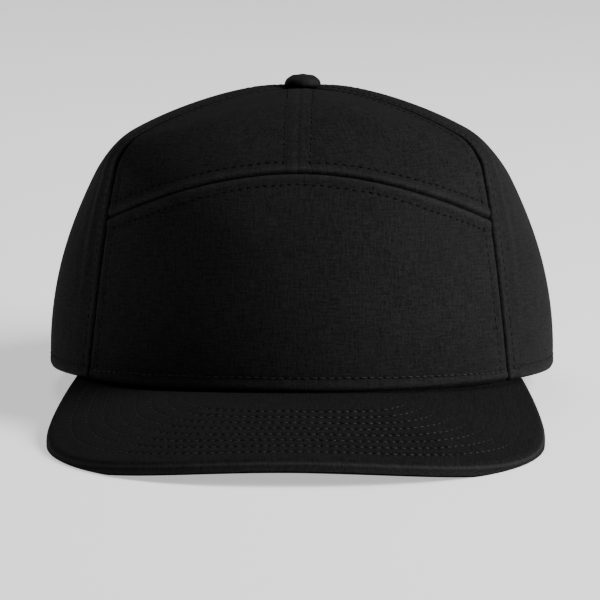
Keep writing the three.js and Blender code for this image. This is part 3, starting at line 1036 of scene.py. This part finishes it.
def band_piece(name, angles, heights, depth, thickness, cells, relief, facing):
    """A band on the crown's wall at a depth; facing 1 shows outwards and -1 inwards."""
    angle = np.linspace(*angles, cells[0] + 1)
    low, high = (at_height(angle, height) for height in heights)
    v = np.linspace(0, 1, cells[1] + 1)[:, None]
    angle, share = np.broadcast_arrays(angle[None, :], low + (high - low) * v)
    smooth = on_crown(angle, share)
    weave = np.stack([(angle - 180) * per_degree(angle, share), share * length_at(angle)], -1)
    push = facing * relief(weave[..., 0], smooth[..., 2], angle) - depth
    points = smooth + outward(angle, share) * push[..., None]
    if facing < 0:
        points, weave = points[:, ::-1], weave[:, ::-1]
    return thicken(grid_piece(name, points, weave), thickness)


def band_relief(x, z, angle):
    swell = 0.35 * np.sin(np.pi * np.clip((z - BAND_LOW) / (BAND_HIGH - BAND_LOW), 0, 1)) ** 0.7
    row = -0.22 * sum(bump(z, height, 0.7) for height in BAND_ROWS_UP)
    wave = 0.12 * np.sin(angle / 3.1) * np.sin(angle / 7.7 + z / 9)
    return swell - 0.55 * bump(np.minimum(z - BAND_LOW, BAND_HIGH - z), 0, 0.9) + row + wave


sweatband = band_piece("sewn_sweatband", (-BAND_ANGLE, BAND_ANGLE), (BAND_LOW, BAND_HIGH),
                       BAND_IN, BAND_THICK, (300, 40), band_relief, -1)
band_angles = np.arange(-BAND_ANGLE + 1, BAND_ANGLE - 1, math.degrees(PITCH / BAND_RADIUS))
band_rows = []
for height in BAND_ROWS_UP:
    share = at_height(band_angles, height)
    ups = -outward(band_angles, share)
    band_rows.append(look_down(sweatband, on_crown(band_angles, share) + ups * BAND_IN, ups))
band_stitches = sew("sweatband_stitches", band_rows, mirror=False)

# %% [markdown]
# ## The strap
#
# The opening is closed by a plastic strap: one half with a row of studs and the other with
# holes, pressed together where they lap. The photograph doesn't show it, so it is plain. Studs
# and holes repeat along a straight line, and their relief is worked out from one distance.

# %% Make the strap
STRAP_ANGLE = 33.0
STRAP_LOW, STRAP_HIGH = 2.0, 20.0
STRAP_IN, STRAP_THICK = 1.95, 1.3
# the half with the holes lies on the other one between these angles
LAP_ANGLES = (160.2, 188.9)
LAP_NARROWER, LAP_PROUD, LAP_THICK = 0.4, 1.1, 1.0
STUD_STEP = 8.4
# from where to where the studs and the rings round the holes are seen, from the middle
STUDS_FROM, STUDS_TO = 18, 36
RINGS_FROM, RINGS_TO = -30, 16


def stud_distance(x, z):
    """Distance in millimetres to the nearest stud on the strap's middle line."""
    stud = np.round(x / STUD_STEP) * STUD_STEP
    return np.hypot(x - stud, z - (STRAP_LOW + STRAP_HIGH) / 2), stud


def strap_edge(z):
    return bump(np.minimum(z - STRAP_LOW, STRAP_HIGH - z), 0, 0.45)


def strap_relief(x, z, angle):
    d, stud = stud_distance(x, z)
    studs = 0.9 * (1 - ramp(d, 1.5, 2.0)) * ((stud > STUDS_FROM) & (stud < STUDS_TO))
    return studs - 0.35 * strap_edge(z)


def lap_relief(x, z, angle):
    d, stud = stud_distance(x, z)
    seen = (stud > RINGS_FROM) & (stud < RINGS_TO)
    return -0.55 * ramp(d, 1.6, 2.0) * (1 - ramp(d, 2.5, 2.9)) * seen - 0.3 * strap_edge(z)


strap = band_piece("plastic_strap", (180 - STRAP_ANGLE, 180 + STRAP_ANGLE),
                   (STRAP_LOW, STRAP_HIGH), STRAP_IN, STRAP_THICK, (220, 46), strap_relief, 1)
lap = band_piece("strap_lap", LAP_ANGLES, (STRAP_LOW + LAP_NARROWER, STRAP_HIGH - LAP_NARROWER),
                 STRAP_IN - LAP_PROUD, LAP_THICK, (130, 46), lap_relief, 1)
join(strap, lap)
print("strap faces:", len(strap.data.polygons))

# %% [markdown]
# ## Shader sums in Python
#
# Cloth, thread and plastic are all worked out from numbers on the surface. This small class
# holds one socket of a material, so that adding or multiplying two of them adds the Math node.

# %% A socket that Python can do sums with
class Wire:
    def __init__(self, tree, socket=None):
        self.tree, self.socket = tree, socket

    def node(self, kind, settings=(), sockets=(), out=0):
        """Adds a node with its settings, then links or sets its sockets."""
        made = self.tree.nodes.new(kind)
        for key, value in dict(settings).items():
            setattr(made, key, value)
        for key, value in dict(sockets).items():
            if isinstance(value, Wire):
                self.tree.links.new(value.socket, made.inputs[key])
            else:
                made.inputs[key].default_value = value
        return Wire(self.tree, made.outputs[out])

    def maths(self, operation, *values):
        return self.node("ShaderNodeMath", {"operation": operation}, dict(enumerate(values)))

    def __add__(self, other):
        return self.maths("ADD", self, other)

    def __mul__(self, other):
        return self.maths("MULTIPLY", self, other)

    def __sub__(self, other):
        return self.maths("SUBTRACT", self, other)

    def __rsub__(self, other):
        return self.maths("SUBTRACT", other, self)

    __radd__, __rmul__ = __add__, __mul__


# %% [markdown]
# ## What all the finishes share
#
# Every finish here is a Principled shader with two tones of grey, a roughness and fine bumps.
# What never varies is set on the sockets. What varies over the surface goes through a mask,
# which is 0 where the dark tone is and 1 where the pale one is, and may go past either.

# %% Materials, noise and surfaces
def new_material(name, fixed):
    """A material with one Principled shader; fixed holds the sockets that never vary."""
    material = bpy.data.materials.new(name)
    material.use_nodes = True
    tree = material.node_tree
    shader = tree.nodes["Principled BSDF"]
    for key, value in fixed.items():
        shader.inputs[key].default_value = value
    return material, Wire(tree), shader


def noise(place, scale, detail, dimensions="2D"):
    """Fractal noise around 0.5; scale is how many of its swells go into one metre."""
    return place.node("ShaderNodeTexNoise", {"noise_dimensions": dimensions},
                      {"Vector": place, "Scale": scale, "Detail": detail, "Roughness": 0.6})


def feed(wire, shader, socket):
    wire.tree.links.new(wire.socket, shader.inputs[socket])


def surface(shader, mask, dark, pale, rough, height, depth):
    """Dark grey where the mask is 0 and pale where it is 1, with bumps of a depth in metres."""
    tones = {0: mask, 6: (dark, dark, dark, 1), 7: (pale, pale, pale, 1)}
    mixed = {"data_type": "RGBA", "clamp_factor": False}
    feed(mask.node("ShaderNodeMix", mixed, tones, out=2), shader, "Base Color")
    feed(rough, shader, "Roughness")
    bumps = {"Strength": 1.0, "Distance": depth, "Height": height}
    feed(height.node("ShaderNodeBump", (), bumps), shader, "Normal")


# %% [markdown]
# ## Black cotton twill
#
# Twill is woven so that the warp shows as fine slanting ribs. The cloth's own coordinates are
# in metres along the weave, so sines across them give ribs at their real width, and noise
# stretched along the warp and the weft makes each thread uneven. The painted light that was set
# with the relief adds painted highlights beside the seams and painted shade in folds, holes and
# grooves. The brim's copy has darker tones, a painted shade. A soft sheen stands for the cotton's
# fuzz, which lightens the cloth where it turns away.

# %% Make the cloth
# how a rib's direction is split between the cloth's two coordinates
RIB_SLANT = (0.64, 0.77)
THREADS_PER_RIB = 1.35
# scales of the noises, and how much finer the threads' one is across than along
WANDER, THREAD_NOISE, FIBRE_NOISE, DYE_NOISE = 190.0, 1500.0, 1100.0, 62.0
STRETCHED = 0.12
# base colour of black cotton at a mask of 0 and of 1
COTTON_DARK, COTTON_PALE = 0.0055, 0.0145


def twill(name, rib, light=1.0, depth=0.00010):
    """rib is a rib's width in millimetres, light scales the tones, depth is in metres."""
    material, start, shader = new_material(name, {
        "Sheen Weight": 0.006, "Sheen Roughness": 0.42, "Specular IOR Level": 0.05})
    cloth = start.node("ShaderNodeUVMap", {"uv_map": "cloth"})
    parts = start.node("ShaderNodeSeparateXYZ", (), {0: cloth})
    u, v = (Wire(start.tree, parts.socket.node.outputs[k]) for k in (0, 1))
    wander = noise(cloth, WANDER, 2.0) - 0.5
    turn = 2 * math.pi / (rib * MM)
    slant_u, slant_v = RIB_SLANT
    across = (u * slant_u + v * slant_v) * turn
    threads = (u * slant_v - v * slant_u) * (turn * THREADS_PER_RIB)
    ribs = start.maths("SINE", across + wander * 3.0) * 0.5 + 0.5
    knots = start.maths("SINE", threads + wander * 5.0) * 0.5 + 0.5
    along_warp = start.node("ShaderNodeCombineXYZ", (), {0: u, 1: v * STRETCHED})
    along_weft = start.node("ShaderNodeCombineXYZ", (), {0: u * STRETCHED, 1: v})
    warp, weft = noise(along_warp, THREAD_NOISE, 1.0), noise(along_weft, THREAD_NOISE, 1.0)
    fibres, cloudy = noise(cloth, FIBRE_NOISE, 4.0), noise(cloth, DYE_NOISE, 4.0)
    # painted light and shade set with the relief, added to the cloth's colour
    painted_light = start.node("ShaderNodeAttribute", {"attribute_name": "painted_light"}, out=2)
    height = ribs * (0.1 + 0.1 * knots) + 0.7 * fibres + 0.7 * warp + 0.7 * weft
    shade = (ribs * 0.04 + knots * 0.03 + fibres * 1.6 + warp * 0.9 + weft * 0.9
             + cloudy * 0.35 + painted_light * 0.6 - 1.40)
    shade = start.maths("MAXIMUM", shade, -0.4)
    surface(shader, shade, COTTON_DARK * light, COTTON_PALE * light, 0.95 - 0.05 * shade,
            height, depth)
    return material


crown_cloth = twill("black_twill", 0.84)
# the brim's copy has its tones darkened, a painted shade
brim_cloth = twill("black_twill_brim", 0.84, light=0.78, depth=0.00014)
band_cloth = twill("black_band_cloth", 0.55, light=0.85, depth=0.00006)

# %% [markdown]
# ## Thread, button cloth and plastic
#
# Sewing thread is twisted polyester, a little smoother than cotton. The bright dot on a stitch's
# crest is a painted highlight, read from each point's glint. One black thread comes in lit and
# shaded copies: a dark copy is painted shade for the arched seams' rows, a paler lit copy for the
# other rows and the sweatband, a copy with a bright painted glint for the rim, and the brim's,
# which has the most gloss and a painted glint. The button's cloth is the crown's twill, but a
# sphere's own coordinates would stretch it, so it reads the object's place. The strap is moulded
# with a faint grain.

# %% Make the other finishes
TWIST_NOISE, TWIST_DEEP = 1800.0, 0.00005


def grained(name, dark, pale, rough, spread, scale, depth, fixed):
    material, start, shader = new_material(name, fixed)
    place = start.node("ShaderNodeTexCoord", out=3)
    grain = noise(place, scale, 4.0, "3D")
    surface(shader, grain, dark, pale, grain * spread + rough, grain, depth)
    return material


def thread_of(name, dark, pale, rough, gloss):
    """Thread with a painted highlight on each stitch's crest and painted shade where it dives in.
    """
    material, start, shader = new_material(name, {"Specular IOR Level": gloss})
    glint = start.node("ShaderNodeAttribute", {"attribute_name": "glint"}, out=2)
    twist = noise(start.node("ShaderNodeTexCoord", out=3), TWIST_NOISE, 3.0, "3D")
    crest = glint * (twist * 0.8 + 0.6)
    surface(shader, crest, dark, pale, twist * 0.2 + rough, twist, TWIST_DEEP)
    return material


# one thread in lit and shaded copies: the dark one is painted shade, the paler ones painted light
shaded_thread = thread_of("black_shaded_thread", 0.0018, 0.0042, 0.65, 0.05)
lit_thread = thread_of("black_lit_thread", 0.0050, 0.0100, 0.60, 0.06)
glint_thread = thread_of("black_glint_thread", 0.0012, 0.0150, 0.50, 0.15)
brim_thread = thread_of("black_gloss_painted_glint_thread", 0.0025, 0.0135, 0.42, 0.22)
button_cloth = grained("black_button_cloth", 0.0055, 0.0130, 0.62, 0.15, 1500.0, 0.00010,
                       {"Sheen Weight": 0.006, "Specular IOR Level": 0.10})
strap_plastic = grained("black_plastic", 0.006, 0.009, 0.48, 0.16, 900.0, 0.00002,
                        {"Specular IOR Level": 0.3})

# %% [markdown]
# ## Dressing the pieces
#
# Each piece gets its finish, rides on the cap's one body, and stands for its node of the solid
# model.

# %% Ride, replace and finish
def dress(piece, material, slot, *nodes):
    piece.data.materials.clear()
    piece.data.materials.append(material)
    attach(piece, "root")
    if nodes:
        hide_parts(*nodes)


for name, piece in crown.items():
    dress(piece, crown_cloth, "crown_cloth", name)
dress(brim_top, brim_cloth, "brim_cloth", "brim_top")
dress(brim_under, brim_cloth, "brim_cloth", "brim_under")
dress(button, button_cloth, "button_cloth", "button")
dress(sweatband, band_cloth, "band_cloth", "sweatband")
dress(strap, strap_plastic, "strap_plastic", "back_strap")
# each group of rows gets a lit, shaded or glinting copy of the thread, as painted light and shade
threads = {"rim": glint_thread, "level": lit_thread, "upright": lit_thread}
for name, piece in crown_sewn.items():
    dress(piece, threads.get(name, shaded_thread), "crown_cloth")
dress(brim_sewn["brim_top"], brim_thread, "brim_cloth")
dress(brim_sewn["brim_under"], brim_thread, "brim_cloth")
dress(band_stitches, lit_thread, "band_cloth")
print("materials in the file:", len(bpy.data.materials))

# %% [markdown]
# ## The light table and the lamps
#
# The cap stands on a white light table that glows evenly, as for a catalogue picture, so it
# throws almost no shadow. Black cloth shows its shape only by the light that glances off it.
# A large soft lamp stands high on the right and a weaker one low in front of it, which leaves
# the lower left darkest. Faint ones lift the left outline and the top from behind.

# %% Floor and lamps
bpy.ops.mesh.primitive_plane_add(size=16)
floor = bpy.context.object
floor.name = "studio_floor"
paper, _, _ = new_material("white_light_table", {
    "Base Color": (0.93, 0.93, 0.93, 1), "Roughness": 0.9,
    "Emission Color": (1, 1, 1, 1), "Emission Strength": 0.6})
floor.data.materials.append(paper)

world = bpy.data.worlds.new("studio")
scene.world = world
world.use_nodes = True
world.node_tree.nodes["Background"].inputs["Strength"].default_value = 0
# the lamps point at the middle of the cap, from this many metres away
AIM = Vector((0, 0, 0.05))
LAMP_FAR = 2
# degrees from the front towards the right, degrees up, width in metres, watts
LAMPS = {
    "key_right": (80, 40, 0.9, 43),
    "front_low": (68, 22, 0.8, 29),
    "behind_left": (-135, 30, 0.9, 3.4),
    "high_behind": (-150, 70, 0.9, 9),
}
for name, (round_from_front, up, size, watts) in LAMPS.items():
    turn, rise = math.radians(round_from_front), math.radians(up)
    flat = LAMP_FAR * math.cos(rise)
    place = AIM + Vector((flat * math.sin(turn), -flat * math.cos(turn),
                          LAMP_FAR * math.sin(rise)))
    bpy.ops.object.light_add(type="AREA", location=place)
    lamp = bpy.context.object
    lamp.name = name
    lamp.data.shape = "DISK"
    lamp.data.size = size
    lamp.data.energy = watts
    lamp.rotation_euler = (AIM - place).to_track_quat("-Z", "Y").to_euler()
print("lamps:", list(LAMPS))

# %% [markdown]
# ## The camera
#
# Catalogue pictures are taken from far away with a long lens, so that a shape keeps its
# proportions. The camera stands a little above the rim's plane and a touch to one side. The
# lens follows from how many pixels a millimetre of the crown takes up.

# %% Camera
# distance in millimetres, the picture's width in pixels and the sensor's in millimetres
DISTANCE = 1500.0
PICTURE, SENSOR = 600, 36
PIXELS_PER_MM = 501 / 184
view_up, view_round = math.radians(4.74), math.radians(1.23)
right = np.array([math.cos(view_round), math.sin(view_round), 0.0])
away = np.array([math.sin(view_round) * math.cos(view_up),
                 -math.cos(view_round) * math.cos(view_up), math.sin(view_up)])
# the middle of the picture, up from the rim's plane and off the cap's middle
MIDDLE_UP, MIDDLE_ASIDE = 23.19, 0.76
aim = np.array([0.0, 0.0, MIDDLE_UP]) - MIDDLE_ASIDE * right
bpy.ops.object.camera_add(location=at_rest(aim + away * DISTANCE))
camera = bpy.context.object
camera.rotation_euler = Vector(turned(-away)).to_track_quat("-Z", "Y").to_euler()
camera.data.sensor_width = SENSOR
camera.data.lens = SENSOR * PIXELS_PER_MM * DISTANCE / PICTURE
camera.data.clip_start, camera.data.clip_end = 0.05, 50
scene.camera = camera
print("lens in mm:", round(camera.data.lens, 1))
